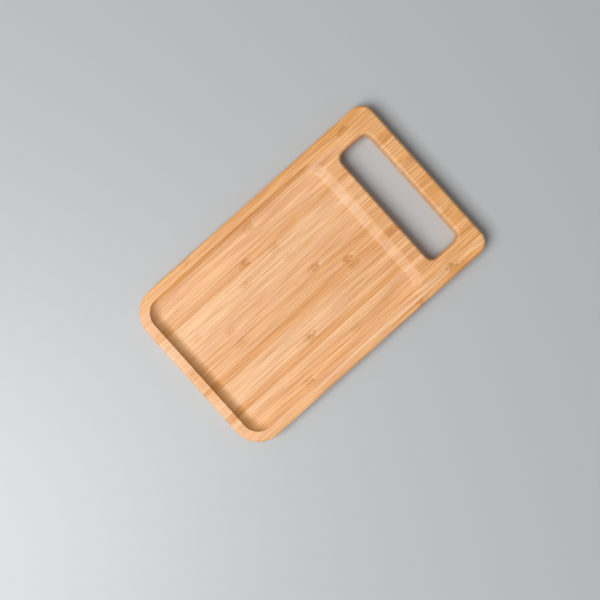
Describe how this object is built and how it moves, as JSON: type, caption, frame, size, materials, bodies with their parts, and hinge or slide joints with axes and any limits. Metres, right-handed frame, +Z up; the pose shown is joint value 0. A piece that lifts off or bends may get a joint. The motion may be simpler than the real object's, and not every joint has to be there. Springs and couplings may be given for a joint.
{
  "type": "serving tray",
  "caption": "Flat one-handed serving tray of edge-glued bamboo: a rectangular panel with round corners, a shallow coved dish, and a hand hole that leaves a grip bar at one end.",
  "frame": {"origin": "under the middle of the tray, in the plane it rests on", "axes": "+X along the tray's length, towards the hand hole and grip; +Z up, out of the dish"},
  "size_m": [0.28, 0.171, 0.017],
  "materials": {
    "bamboo": "satin oil",
    "bamboo_pale": "satin oil",
    "bamboo_dark": "satin oil"
  },
  "bodies": {
    "root": {"edge_strip_right": "bamboo", "strip_01": "bamboo", "strip_02": "bamboo", "strip_03": "bamboo", "strip_04_tray": "bamboo_pale", "strip_04_grip": "bamboo_pale", "strip_05_tray": "bamboo_dark", "strip_05_grip": "bamboo_dark", "strip_06_tray": "bamboo_pale", "strip_06_grip": "bamboo_pale", "strip_07_tray": "bamboo_pale", "strip_07_grip": "bamboo_pale", "strip_08_tray": "bamboo", "strip_08_grip": "bamboo", "strip_09_tray": "bamboo_dark", "strip_09_grip": "bamboo_dark", "strip_10_tray": "bamboo", "strip_10_grip": "bamboo", "strip_11_tray": "bamboo", "strip_11_grip": "bamboo", "strip_12_tray": "bamboo", "strip_12_grip": "bamboo", "strip_13_tray": "bamboo", "strip_13_grip": "bamboo", "strip_14_tray": "bamboo", "strip_14_grip": "bamboo", "strip_15_tray": "bamboo_pale", "strip_15_grip": "bamboo_pale", "strip_16_tray": "bamboo_pale", "strip_16_grip": "bamboo_pale", "strip_17_tray": "bamboo_pale", "strip_17_grip": "bamboo_pale", "strip_18_tray": "bamboo_dark", "strip_18_grip": "bamboo_dark", "strip_19_tray": "bamboo", "strip_19_grip": "bamboo", "strip_20": "bamboo", "strip_21": "bamboo", "strip_22": "bamboo", "edge_strip_left": "bamboo"}
  },
  "joints": []
}
